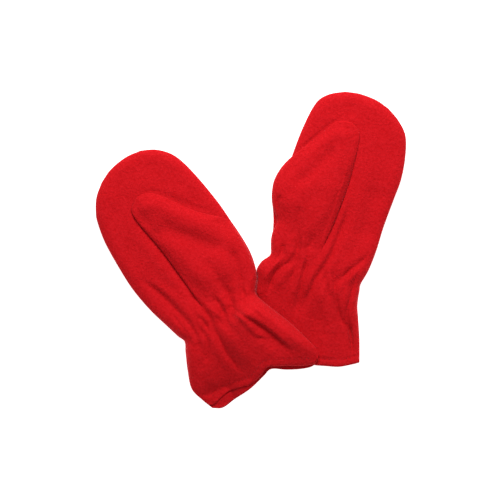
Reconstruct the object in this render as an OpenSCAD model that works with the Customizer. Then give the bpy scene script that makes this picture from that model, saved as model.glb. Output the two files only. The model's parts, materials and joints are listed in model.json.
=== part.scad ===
// A pair of fleece pull-on mittens, lying palm up with the thumbs folded over the palms.
// The cuff of the right-hand mitten lies on the cuff of the left-hand one.

/* [Cloth] */
// Thickness of the fleece
cloth_t = 2.5; // [1.5:0.1:3]
// Room for the hand between the palm and the back of the mitten
hand_gap = 7.5; // [7.5:0.5:9]
// Width of the seam allowance, where palm and back are sewn face to face
seam_w = 6; // [4:0.5:7]
// How far in from the outline the cloth rounds over
edge_r = 6; // [3:0.5:6]
// Width of the cuff's turned hem
hem_w = 8; // [6:1:12]

/* [Thumb] */
// Room for the thumb inside its stall
thumb_gap = 5.5; // [5:0.25:7]
// Air between the folded thumb and the palm
fold_air = 0.4; // [0.3:0.1:1]

/* [Wrist elastic] */
// Width of the elastic
elastic_w = 8; // [6:1:8]
// Thickness of the elastic
elastic_t = 0.6; // [0.4:0.1:0.7]
// How much higher than the palm the gathered wrist stands
wrist_rise = 4; // [3:0.5:4.5]

/* [Thread] */
// Radius of the overlock thread in the seams
seam_thread_r = 0.6; // [0.3:0.1:0.7]
// Radius of the stitching thread
stitch_r = 0.3; // [0.2:0.05:0.3]

/* [Pair as laid] */
// Turn of the right-hand mitten about the vertical
right_turn = 34.5; // [30:0.5:38]
// Turn of the left-hand mitten about the vertical
left_turn = -21.5; // [-25:0.5:-18]
// Height of the right-hand cuff where it lies on the left-hand one
cuff_lift = 14; // [13.8:0.1:16]

/* [Hidden] */

fleece = [0.78, 0.09, 0.13];
fleece_shade = [0.66, 0.06, 0.10];
elastic_white = [0.92, 0.90, 0.86];
thread_red = [0.85, 0.15, 0.18];

// Each mitten has its own frame: the origin on the wrist line's middle, +X to the thumb's side and
// +Y to the fingertips. A station is one line across the mitten, from the little finger's side to
// the thumb's side, [x, y, x, y], and the stations run from the hem to the fingertips.
right_stations = [
    [-58, -72, 55, -88], [-61, hem_w - 72, 57, hem_w - 87], [-64, -44, 57, -58],
    [-56, -20, 48, -24], [-43, -elastic_w / 2, 40, -elastic_w / 2],
    [-43, elastic_w / 2, 42, elastic_w / 2],
    [-49, 20, 50, 19], [-55, 46, 58, 45], [-57, 76, 61, 74], [-56, 104, 61, 102],
    [-52, 132, 59, 131], [-43, 158, 53, 158], [-32, 172, 43, 174], [-20, 180.5, 30, 182.5],
    [-6, 185, 14, 186]];
left_stations = [
    [-75, -70, 14, -103], [-72, hem_w - 70, 18, hem_w - 103], [-66, -48, 30, -75],
    [-54, -22, 44, -32], [-47, -elastic_w / 2, 47, -elastic_w / 2 - 3],
    [-47, elastic_w / 2, 48, elastic_w / 2 - 3],
    [-49, 20, 50, 16], [-49, 44, 54, 38], [-48, 70, 60, 64], [-47, 96, 63, 92],
    [-45, 122, 64, 119], [-37, 149, 61, 149], [-25, 166, 53, 166], [-12, 175.5, 42, 175.5],
    [4, 180, 26, 180]];

// The thumb stall's stations run from the fold to the thumb's tip, from its lower edge to its upper.
right_thumb_stations = [
    [-9, 14, 61, 76], [-10, 46, 47, 93], [-11, 80, 36, 108], [-13, 108, 26, 125],
    [-15, 126, 18, 137], [-14, 135, 12, 142.5], [-10.5, 141, 4, 145.5]];
left_thumb_stations = [
    [3, 20, 65, 92], [1, 52, 54, 112], [1, 86, 45, 128], [4, 114, 39, 141],
    [6, 132, 34, 146], [8, 140, 29, 149], [13, 146, 23, 150]];

// The thumb base's stations run up the fold. Each holds its place along the fold, from 0 to 1, and
// the point on the outline at the thumb's side.
right_base_outline = [[0.03, 46, 10], [0.34, 52, 28], [0.66, 58, 48], [0.93, 61, 67]];
left_base_outline = [[0.03, 46, 14], [0.34, 60, 38], [0.66, 69, 60], [0.93, 69, 82]];

right_place = [-28.95, -66.75, 0];
left_place = [65.05, -19.75, 0];

mitten_h = 2 * cloth_t + hand_gap;
thumb_h = 2 * cloth_t + thumb_gap;
thumb_z = mitten_h + fold_air;
base_gap = thumb_gap + cloth_t + fold_air;
edge_h = 1.8;
elastic_air = 0.1;
stitch_air = 0.15;
// How much deeper than flat the back bulges before it is cut off level
belly = 0.4;
// Half the width of the cube that cuts the backs off, and its depth
ground_r = 200;
ground_t = 20;
// Where the overlock thread runs between the seam allowance and the hollow, from 0 to 1
seam_place = 0.65;
thread_sides = 6;
row_steps = 2;
hem_row = row_steps;
wrist_rows = [4 * row_steps, 5 * row_steps];

// The first and last columns keep their distance from the outline, and the rest spread evenly.
pouch_margins = [0, 2, 6, 14];
thumb_margins = [0, 1.5, 5, 10];
pouch_spread = 3;
thumb_spread = 2;
// A row narrower than this many times the widest margin has its margins squeezed.
narrow_row = 2.6;
// The thumb base's columns, from the open side at the fold to the sewn side at the outline
base_columns = [0, 0.2, 0.4, 0.6, 0.75, 0.88, 1];
base_edge = 8;
base_air = 0.1;
// The thumb base's hollow begins this share of base_edge inside its rim.
base_rim = 0.2;

// Where the thumb goes through the palm panel: this far towards the thumb's side of the fold
passage_air = 5;
passage_rows = [14, 56];
fold_gap = 0.5;

// The right-hand cuff climbs from the wrist towards the hem, and across towards the thumb's side
climb_top = 3;
climb_length = 16;
climb_lean = 0.53;
climb_start = 8;
climb_width = 38;

// The gathered wrist swells between these two places along the mitten, over these lengths
swell_top = 10;
swell_top_length = 8;
swell_foot = -24;
swell_foot_length = 16;
swell_side = 12;

function smooth(t) = let (c = max(0, min(1, t))) c * c * (3 - 2 * c);
function mix(a, b, t) = a + (b - a) * t;

// A smooth curve through a list of stations, at place u counted in stations
function along(p, u) =
    let (n = len(p) - 1, i = min(n - 1, floor(u)), f = u - i)
    let (a = p[max(0, i - 1)], b = p[i], c = p[i + 1], d = p[min(n, i + 2)])
    b + 0.5 * f * ((c - a) + f * ((2 * a - 5 * b + 4 * c - d) + f * (3 * b - a - 3 * c + d)));
function rows(stations, steps) =
    [for (k = [0 : (len(stations) - 1) * steps]) along(stations, k / steps)];

function row_width(r) = norm([r[2] - r[0], r[3] - r[1]]);
function across(r, t) = [mix(r[0], r[2], t), mix(r[1], r[3], t)];
// How much narrower the margins are where the row is too short for them
function squeeze(r, margins) = min(1, row_width(r) / (narrow_row * margins[len(margins) - 1]));

// The places of the columns along one row, from 0 to 1
function columns(r, margins, spread) =
    let (n = len(margins), w = row_width(r), k = squeeze(r, margins))
    let (m = [for (d = margins) d * k / w])
    concat(m, [for (i = [1 : spread]) mix(m[n - 1], 1 - m[n - 1], i / (spread + 1))],
        [for (i = [n - 1 : -1 : 0]) 1 - m[i]]);

// How far a place is from the sewn edges: the two sides and the far end
function inset(r, t, far, margins) =
    let (side = min(t, 1 - t) * row_width(r) / squeeze(r, margins), p = across(r, t))
    min(side, norm(p - across(far, t)));

function grid(stations, steps, margins, spread) =
    let (all_rows = rows(stations, steps))
    [for (r = all_rows) [for (t = columns(r, margins, spread))
        [across(r, t), inset(r, t, all_rows[len(all_rows) - 1], margins)]]];

// Height of a layer's outer face and of its hollow above the seam's middle, at a distance d inside
function outer_rise(d, full) =
    let (k = 1 - min(1, d / edge_r)) mix(edge_h, full, sqrt(max(0, 1 - k * k)));
function inner_rise(d, gap) = gap / 2 * smooth((d - seam_w + 1) / seam_w);

// The right-hand cuff's thumb side climbs onto the other cuff
function climb(hand, p) =
    hand == "left" ? 0
        : cuff_lift * smooth((climb_top - p.y) / climb_length)
            * smooth((p.x - climb_lean * p.y + climb_start) / climb_width);

// The palm stands higher where the elastic gathers it, away from the sides
function swell(p, d) =
    wrist_rise * smooth((d - seam_w) / swell_side) * smooth((swell_top - p.y) / swell_top_length)
        * smooth((p.y - swell_foot) / swell_foot_length);

function pouch_grid(hand) =
    grid(hand == "left" ? left_stations : right_stations, row_steps, pouch_margins,
        pouch_spread);
function stall_grid(hand) =
    grid(hand == "left" ? left_thumb_stations : right_thumb_stations, row_steps, thumb_margins,
        thumb_spread);
function fold_ends(hand) =
    let (s = (hand == "left" ? left_thumb_stations : right_thumb_stations)[0])
    [[s[0], s[1]], [s[2], s[3]]];
function base_stations(hand) =
    let (f = fold_ends(hand), u = (f[1] - f[0]) / norm(f[1] - f[0]))
    [for (b = hand == "left" ? left_base_outline : right_base_outline)
        let (p = mix(f[0], f[1], b[0]) + fold_gap * [u.y, -u.x])
        [p.x, p.y, b[1], b[2]]];

// How far a place lies on the thumb's side of the fold
function past_fold(hand, p) =
    let (f = fold_ends(hand), u = (f[1] - f[0]) / norm(f[1] - f[0]))
    (p.x - f[0].x) * u.y - (p.y - f[0].y) * u.x;

// One closed layer of cloth between two heights over a grid, without the cells that open() names
module layer(xy, low, high, open = []) {
    rows_n = len(xy);
    cols_n = len(xy[0]);
    far = rows_n * cols_n;
    function at(i, j) = i * cols_n + j;
    function solid(i, j) =
        i >= 0 && j >= 0 && i < rows_n - 1 && j < cols_n - 1 && (len(open) == 0 || !open[i][j]);
    function wall(a, b) = [[a, a + far, b + far], [a, b + far, b]];
    points = concat(
        [for (i = [0 : rows_n - 1]) for (j = [0 : cols_n - 1]) [xy[i][j].x, xy[i][j].y, low[i][j]]],
        [for (i = [0 : rows_n - 1]) for (j = [0 : cols_n - 1]) [xy[i][j].x, xy[i][j].y, high[i][j]]]);
    faces = [for (i = [0 : rows_n - 2]) for (j = [0 : cols_n - 2]) if (solid(i, j))
        let (a = at(i, j), b = at(i, j + 1), c = at(i + 1, j + 1), d = at(i + 1, j))
        each concat(
            [[a + far, d + far, c + far], [a + far, c + far, b + far], [a, c, d], [a, b, c]],
            solid(i - 1, j) ? [] : wall(a, b),
            solid(i, j + 1) ? [] : wall(b, c),
            solid(i + 1, j) ? [] : wall(c, d),
            solid(i, j - 1) ? [] : wall(d, a))];
    polyhedron(points, faces, convexity = 8);
}

// A round thread through a list of points, all of them nearly level
module thread(path, r) {
    n = len(path);
    rings = [for (i = [0 : n - 1])
        let (t = path[min(n - 1, i + 1)] - path[max(0, i - 1)])
        let (side = cross(t, [0, 0, 1]) / norm(cross(t, [0, 0, 1])), up = cross(side, t) / norm(t))
        for (k = [0 : thread_sides - 1])
            path[i] + r * (cos(360 * k / thread_sides) * side + sin(360 * k / thread_sides) * up)];
    skin = [for (i = [0 : n - 2]) for (k = [0 : thread_sides - 1])
        let (a = i * thread_sides + k, b = i * thread_sides + (k + 1) % thread_sides)
        each [[a, b, b + thread_sides], [a, b + thread_sides, a + thread_sides]]];
    ends = [
        [for (k = [thread_sides - 1 : -1 : 0]) k],
        [for (k = [0 : thread_sides - 1]) (n - 1) * thread_sides + k]];
    polyhedron(rings, concat(skin, ends), convexity = 8);
}

function places(g) = [for (row = g) [for (c = row) c[0]]];

// Puts a mitten's own frame where that mitten lies
module laid(hand) {
    translate(hand == "left" ? left_place : right_place)
        rotate([0, 0, hand == "left" ? left_turn : right_turn])
            mirror([hand == "left" ? 1 : 0, 0, 0])
                children();
}

module palm_panel(hand) {
    g = pouch_grid(hand);
    mid = mitten_h / 2;
    low = [for (row = g) [for (c = row)
        mid + climb(hand, c[0]) + swell(c[0], c[1]) + inner_rise(c[1], hand_gap)]];
    high = [for (row = g) [for (c = row)
        mid + climb(hand, c[0]) + swell(c[0], c[1]) + outer_rise(c[1], mid)]];
    passage = [for (i = [0 : len(g) - 2]) [for (j = [0 : len(g[0]) - 2])
        let (p = (g[i][j][0] + g[i + 1][j + 1][0]) / 2, d = (g[i][j][1] + g[i + 1][j + 1][1]) / 2)
        past_fold(hand, p) > passage_air && d > seam_w
            && p.y > passage_rows[0] && p.y < passage_rows[1]]];
    color(fleece)
        laid(hand)
            layer(places(g), low, high, passage);
}

// The back is cut off level underneath, so that the mitten has a flat face to lie on.
module back_panel(hand) {
    g = pouch_grid(hand);
    mid = mitten_h / 2;
    low = [for (row = g) [for (c = row) mid + climb(hand, c[0]) - outer_rise(c[1], mid + belly)]];
    high = [for (row = g) [for (c = row) mid + climb(hand, c[0]) - inner_rise(c[1], hand_gap)]];
    color(fleece_shade)
        laid(hand)
            difference() {
                layer(places(g), low, high);
                translate([-ground_r, -ground_r, -ground_t])
                    cube([2 * ground_r, 2 * ground_r, ground_t]);
            }
}

// The thumb's cloth between the fold and the side of the hand, a roof over the passage
module thumb_base(hand) {
    all_rows = rows(base_stations(hand), row_steps);
    n = len(all_rows) - 1;
    g = [for (i = [0 : n]) [for (t = base_columns)
        [across(all_rows[i], t),
            min(base_edge * min(i, n - i), (1 - t) * row_width(all_rows[i]))]]];
    foot = mitten_h + base_air;
    low = [for (row = g) [for (c = row) foot + base_gap * smooth(c[1] / base_edge - base_rim)]];
    high = [for (row = g) [for (c = row) foot + cloth_t + base_gap * smooth(c[1] / base_edge)]];
    color(fleece)
        laid(hand)
            layer(places(g), low, high);
}

module thumb_front(hand) {
    g = stall_grid(hand);
    mid = thumb_z + thumb_h / 2;
    low = [for (row = g) [for (c = row) mid + inner_rise(c[1], thumb_gap)]];
    high = [for (row = g) [for (c = row) mid + outer_rise(c[1], thumb_h / 2)]];
    color(fleece)
        laid(hand)
            layer(places(g), low, high);
}

module thumb_back(hand) {
    g = stall_grid(hand);
    mid = thumb_z + thumb_h / 2;
    low = [for (row = g) [for (c = row) mid - outer_rise(c[1], thumb_h / 2)]];
    high = [for (row = g) [for (c = row) mid - inner_rise(c[1], thumb_gap)]];
    color(fleece_shade)
        laid(hand)
            layer(places(g), low, high);
}

// A loop of elastic inside the wrist, against the palm and the back
module wrist_elastic(hand) {
    g = pouch_grid(hand);
    first = len(pouch_margins) - 1;
    last = len(g[0]) - 1 - first;
    function strip(up, off) = [for (i = [wrist_rows[0] : wrist_rows[1]]) [for (j = [first : last])
        let (c = g[i][j])
        mitten_h / 2 + climb(hand, c[0]) + (up > 0 ? swell(c[0], c[1]) : 0)
            + up * (inner_rise(c[1], hand_gap) - elastic_air - off)]];
    xy = [for (i = [wrist_rows[0] : wrist_rows[1]]) [for (j = [first : last]) g[i][j][0]]];
    color(elastic_white)
        laid(hand) {
            layer(xy, strip(1, elastic_t), strip(1, 0));
            layer(xy, strip(-1, 0), strip(-1, elastic_t));
        }
}

// The overlock thread runs inside, along the seam allowances, up one side and down the other.
function seam_path(g, margins, mid, hand) =
    let (k = len(margins) - 1, last = len(g[0]) - 1, middle = floor(last / 2))
    let (reach = [for (i = [0 : len(g) - 1]) if (g[i][middle][1] > margins[k]) i])
    let (n = len(reach) - 1)
    let (level = function (p) [p.x, p.y, mid + climb(hand, p)])
    concat(
        [for (i = [0 : n]) level(mix(g[i][k - 1][0], g[i][k][0], seam_place))],
        [for (i = [n : -1 : 0]) level(mix(g[i][last - k + 1][0], g[i][last - k][0], seam_place))]);

module side_seam(hand) {
    path = seam_path(pouch_grid(hand), pouch_margins, mitten_h / 2, hand);
    color(thread_red)
        laid(hand)
            thread(path, seam_thread_r);
}

module thumb_seam(hand) {
    path = seam_path(stall_grid(hand), thumb_margins, thumb_z + thumb_h / 2, hand);
    color(thread_red)
        laid(hand)
            thread(path, seam_thread_r);
}

// Top stitching round the cuff: on the palm's outer face, and on the back's inner face
module hem_stitch(hand) {
    g = pouch_grid(hand)[hem_row];
    first = 2;
    last = len(g) - 1 - first;
    lift = stitch_r + stitch_air;
    color(thread_red)
        laid(hand) {
            thread([for (j = [first : last]) let (p = g[j][0])
                [p.x, p.y, mitten_h / 2 + climb(hand, p) + outer_rise(g[j][1], mitten_h / 2) + lift]],
                stitch_r);
            thread([for (j = [first + 1 : last - 1]) let (p = g[j][0])
                [p.x, p.y, mitten_h / 2 + climb(hand, p) - inner_rise(g[j][1], hand_gap) + lift]],
                stitch_r);
        }
}

// Stitching along the middle of the elastic, on its inner face
module elastic_stitch(hand) {
    g = pouch_grid(hand)[(wrist_rows[0] + wrist_rows[1]) / 2];
    first = len(pouch_margins) - 1;
    last = len(g) - 1 - first;
    off = elastic_air + elastic_t + stitch_air + stitch_r;
    color(thread_red)
        laid(hand)
            for (up = [-1, 1])
                thread([for (j = [first : last]) let (p = g[j][0])
                    [p.x, p.y,
                        mitten_h / 2 + climb(hand, p) + (up > 0 ? swell(p, g[j][1]) : 0)
                            + up * (inner_rise(g[j][1], hand_gap) - off)]],
                    stitch_r);
}

palm_panel("left");  // left_palm_panel
back_panel("left");  // left_back_panel
thumb_base("left");  // left_thumb_base
thumb_front("left");  // left_thumb_front
thumb_back("left");  // left_thumb_back
wrist_elastic("left");  // left_wrist_elastic
side_seam("left");  // left_side_seam
thumb_seam("left");  // left_thumb_seam
hem_stitch("left");  // left_hem_stitch
elastic_stitch("left");  // left_elastic_stitch
palm_panel("right");  // right_palm_panel
back_panel("right");  // right_back_panel
thumb_base("right");  // right_thumb_base
thumb_front("right");  // right_thumb_front
thumb_back("right");  // right_thumb_back
wrist_elastic("right");  // right_wrist_elastic
side_seam("right");  // right_side_seam
thumb_seam("right");  // right_thumb_seam
hem_stitch("right");  // right_hem_stitch
elastic_stitch("right");  // right_elastic_stitch
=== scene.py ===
"""A pair of red fleece mittens, lying palm up with the thumbs folded over the palms."""
import json
import math
import bpy
import numpy as np
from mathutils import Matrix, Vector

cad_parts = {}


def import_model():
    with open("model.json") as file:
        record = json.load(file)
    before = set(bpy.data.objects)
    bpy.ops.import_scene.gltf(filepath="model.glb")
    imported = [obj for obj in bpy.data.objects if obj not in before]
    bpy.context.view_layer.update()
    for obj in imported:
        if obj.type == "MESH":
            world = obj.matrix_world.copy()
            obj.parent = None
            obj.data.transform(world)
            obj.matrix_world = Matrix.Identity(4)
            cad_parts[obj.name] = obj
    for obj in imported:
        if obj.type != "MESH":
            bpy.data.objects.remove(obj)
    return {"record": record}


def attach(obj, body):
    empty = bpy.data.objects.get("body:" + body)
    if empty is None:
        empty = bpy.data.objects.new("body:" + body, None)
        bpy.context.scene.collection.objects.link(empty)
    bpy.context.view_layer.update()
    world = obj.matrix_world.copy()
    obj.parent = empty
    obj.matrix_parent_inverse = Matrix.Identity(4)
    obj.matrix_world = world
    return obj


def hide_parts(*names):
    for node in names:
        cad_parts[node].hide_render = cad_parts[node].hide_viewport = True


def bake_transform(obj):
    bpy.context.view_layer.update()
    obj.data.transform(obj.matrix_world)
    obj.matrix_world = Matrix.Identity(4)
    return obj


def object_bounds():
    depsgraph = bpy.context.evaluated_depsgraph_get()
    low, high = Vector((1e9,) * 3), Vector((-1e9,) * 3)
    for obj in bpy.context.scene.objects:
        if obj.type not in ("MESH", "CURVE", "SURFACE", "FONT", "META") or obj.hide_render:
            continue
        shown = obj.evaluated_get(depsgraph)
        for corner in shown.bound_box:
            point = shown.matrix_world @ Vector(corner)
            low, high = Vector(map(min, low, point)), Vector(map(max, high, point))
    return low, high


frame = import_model()
cad_low, cad_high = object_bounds()
record = frame["record"]
mounts = {m["name"]: m for m in record["mounts"]}
MM = 0.001           # metres in a mm

# Sizes in mm. Each mitten has its own frame: the origin on the wrist line's middle, +X to the
# thumb's side and +Y to the fingertips, as in the CAD.
CLOTH = 2.4          # the fleece's thickness
MID = 6.25           # height of the side seams
HALF = 6.25          # from the side seam's height to either outer face
EDGE = 11.0          # how far in from the seam the cloth rounds over
CROWN = 1.2          # how much higher the middle of the palm is
GRID = 1.35          # spacing of the cloth's grid
LONG, WIDE = 272, 120           # about how long and wide a panel is, for its grid
SEAM_GAP = 0.05      # half the gap between two panels at their seam
THIN = 0.2           # the least thickness left where two panels meet
HEM = 8.0            # width of the turned hem
HEM_EXTRA = {"right": 0.35, "left": 0.9}      # how much thicker the turned hem is
STITCH_LINE = HEM - 0.7         # how far the hem's stitches are from its end
OVERLOCK_PITCH = 1.9
ELASTIC_T = 0.6      # the elastic's thickness
ELASTIC_GAP = 0.15   # from the elastic to the cloth
STITCH_DIP = 0.7     # how far the elastic's stitching draws the palm in
WRIST_RISE = {"right": 8.5, "left": 4.5}      # how much higher the gathered wrist stands
CUFF_FALL = {"right": (-20, 0.42), "left": (-24, 0.10)}  # where the cuff falls from, how steeply
LOBE_RISE = 6.5      # how high the right-hand cuff stays where it lies on the other one
CLIMB = 14.0         # how far that part is raised to clear the other cuff
CORNER_DROP = 4.2    # how much lower that cuff's free corner lies
CUFF_SINK = 2.4      # how far the right-hand palm panel may sink below its seam at the hem
CUFF_GAP = 0.9       # from the left-hand cuff up to the right-hand one
THUMB_RISE = 9.9     # the thumb's crown over the palm
TIP_DROP = 2.6       # how much lower the crown is at the thumb's tip
STALL_LIFT = 1.2     # how far the thumb's side seam stands over the palm
THUMB_DENT = 1.6     # how far the palm dips under the thumb
PASSAGE = (18, 54)   # where along the hand the palm is open into the thumb
FOLD_SHARE = {"right": 0.78, "left": 0.9}     # how deep the palm's folds are, of their full height

# The pleats along the elastic, as how many, how long and how high; and the seeds of the cloth
PALM_PLEATS = (23, 30, 0.6)
BACK_PLEATS = (15, 20, 1.4)
INNER_PLEATS = (57, 13, 34, 1.2)              # with its own seed first
SEEDS = {"right": {"palm": 11, "back": 31, "thumb": 71},
         "left": {"palm": 23, "back": 43, "thumb": 83}}
NUB_SEEDS = {"outside": 5, "inside": 9}

# Slow swellings of the palm and the thumb, and the fleece's nubs, each as a height and a width
SWELL = ((0.9, 34), (0.35, 15))
THUMB_SWELL = ((0.6, 26),)
NUBS = ((0.16, 3.1), (0.09, 1.9))

# Colours
# The fleece's red from darkest to lightest. The red itself is the cloth's own; the darker end is
# painted shade for the hollows between the nubs and fibres, and the lighter end is painted
# highlight for their tops
FLEECE_COLOURS_WITH_PAINTED_PILE_SHADE = ((0.445, 0.0027, 0.0048), (0.60, 0.0098, 0.0155))
MOTTLE_COLOURS = ((0.95, 0.94, 0.94), (1, 1, 1))
THREAD_COLOURS = ((0.34, 0.004, 0.008), (0.50, 0.007, 0.013))
ELASTIC_COLOURS = ((0.62, 0.60, 0.55), (0.86, 0.84, 0.79))

# The left-hand thumb's edge where it hangs over the side of the palm
OVERHANG = [(54, 31), (56.5, 35), (60, 39.5), (64, 45), (67.5, 51.5), (70, 59), (71.6, 67),
            (71.2, 76), (69, 85.5)]

# Each mitten's lines: the sewn edge on both sides and round the tip, the hems, the thumb stall's
# edge, where its base meets the palm, and the fold that the thumb turns about
PAIR = {
    "right": {
        "little": [(-59, -70), (-62.5, -58), (-65, -42), (-58, -24.5), (-49.5, -8.5), (-44, 1),
                   (-46.5, 9), (-49.6, 23), (-54.5, 46), (-57.2, 72), (-56.6, 96), (-53.7, 127),
                   (-48.4, 148.5), (-44, 158), (-35, 170), (-22.4, 179.2)],
        "thumb": [(58.5, -87), (60.5, -78), (58.3, -64), (54, -43), (48.5, -25), (43.5, -9),
                  (42.3, 0), (46.6, 6), (51.5, 12), (55.3, 19), (58.6, 28), (60.8, 37),
                  (62, 47), (62.6, 60), (62.6, 75), (62.6, 96), (60.3, 125), (56.5, 149.3),
                  (51, 164), (40.8, 175.8), (27.8, 183.5)],
        "tip": [(-22.4, 179.2), (-7.6, 184.8), (11.5, 186.4), (27.8, 183.5)],
        "back_hem": [(-59, -70), (-50, -75.5), (-34, -75), (-16, -74.5), (2, -71.5), (12, -70),
                     (24, -79), (37, -87), (48.5, -91), (58.5, -87)],
        "palm_hem": [(-60.2, -66), (-55, -67.5), (-48, -66.3), (-37, -65.2), (-24, -68),
                     (-13, -71), (1, -69), (10, -65.5), (19, -70.5), (28, -76.5), (37, -83),
                     (46, -88.3), (52, -89.8), (59.3, -84.5)],
        "stall_low": [(-9, 11), (-9.4, 23), (-10, 58), (-11.2, 91), (-14.4, 121), (-14.8, 133)],
        "stall_high": [(62, 77), (49.4, 90.5), (38.9, 102.5), (30.2, 116.5), (21.8, 130.8),
                       (13.4, 141.5), (5.4, 146)],
        "stall_tip": [(-14.8, 133), (-12.9, 139), (-9, 142.6), (-2.6, 146.4), (5.4, 146)],
        "base": [(-9, 11), (8, 6), (30, 3), (43.5, 5), (53.5, 18), (58.2, 31), (61, 46),
                 (61.8, 62), (62, 77)],
        "base_round": 30.0,
        "fold": [(-9, 14), (61, 76)],
    },
    "left": {
        "little": [(-74.7, -69.5), (-66.6, -49), (-58.3, -30.8), (-51.9, -17.2), (-48.3, -2.5),
                   (-47, 4), (-49.3, 19.4), (-49.4, 41), (-47.5, 65), (-46.9, 93.7),
                   (-46.3, 117), (-41.6, 140), (-34.3, 158.6), (-22.2, 170), (-8.5, 177.5)],
        "thumb": [(14, -103), (22, -89), (30, -75), (36, -60), (41.5, -47.9), (46.8, -43),
                  (49.1, -35.8), (51.4, -28.4), (54.3, -22.4), (55.3, -19.2), (53.5, -11), (48, -2),
                  (50, 5), (53, 13), (54.2, 21), (54, 27), (53.4, 32), (54.8, 44), (58, 60),
                  (63, 86), (64.4, 114.4), (63.9, 135), (62, 152), (58.4, 162), (50, 170.5),
                  (37.7, 177.5)],
        "tip": [(-8.5, 177.5), (5.5, 180.8), (22.6, 180.8), (37.7, 177.5)],
        "back_hem": [(-74.7, -69.5), (-67, -74.6), (-56.6, -80.4), (-44, -84.7), (-33.5, -87.8),
                     (-20, -91), (0, -97), (14, -103)],
        "palm_hem": [(-74.7, -69.5), (-67, -74.6), (-56.6, -80.9), (-44, -85), (-33.5, -88.2),
                     (-20, -91), (0, -97), (14, -103)],
        "stall_low": [(2.5, 13), (2.7, 20.4), (0.7, 42.7), (0.6, 69.6), (1.5, 94), (4.9, 121.7),
                      (7.6, 136.7)],
        "stall_high": [*OVERHANG, (65, 95), (60.6, 102.5), (54.8, 112), (45.2, 128.6),
                       (40.3, 138), (35.6, 145), (26.7, 149.9)],
        "stall_tip": [(7.6, 136.7), (9.2, 142), (12.2, 145.7), (19.1, 149.5), (26.7, 149.9)],
        "base": [(2.5, 13), (18, 6), (34, 1), (46.5, 2), (52, 12), (53.6, 22), (54, 31)],
        "base_round": 22.0,
        "fold": [(3, 20), (65, 92)],
    },
}
# The thumb's side of the left-hand mitten with the overhang
PAIR["left"]["over"] = [*(q for q in PAIR["left"]["thumb"] if q[1] <= 27), *OVERHANG, (66, 95),
                        (64.6, 105), *(q for q in PAIR["left"]["thumb"] if q[1] > 105)]

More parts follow.
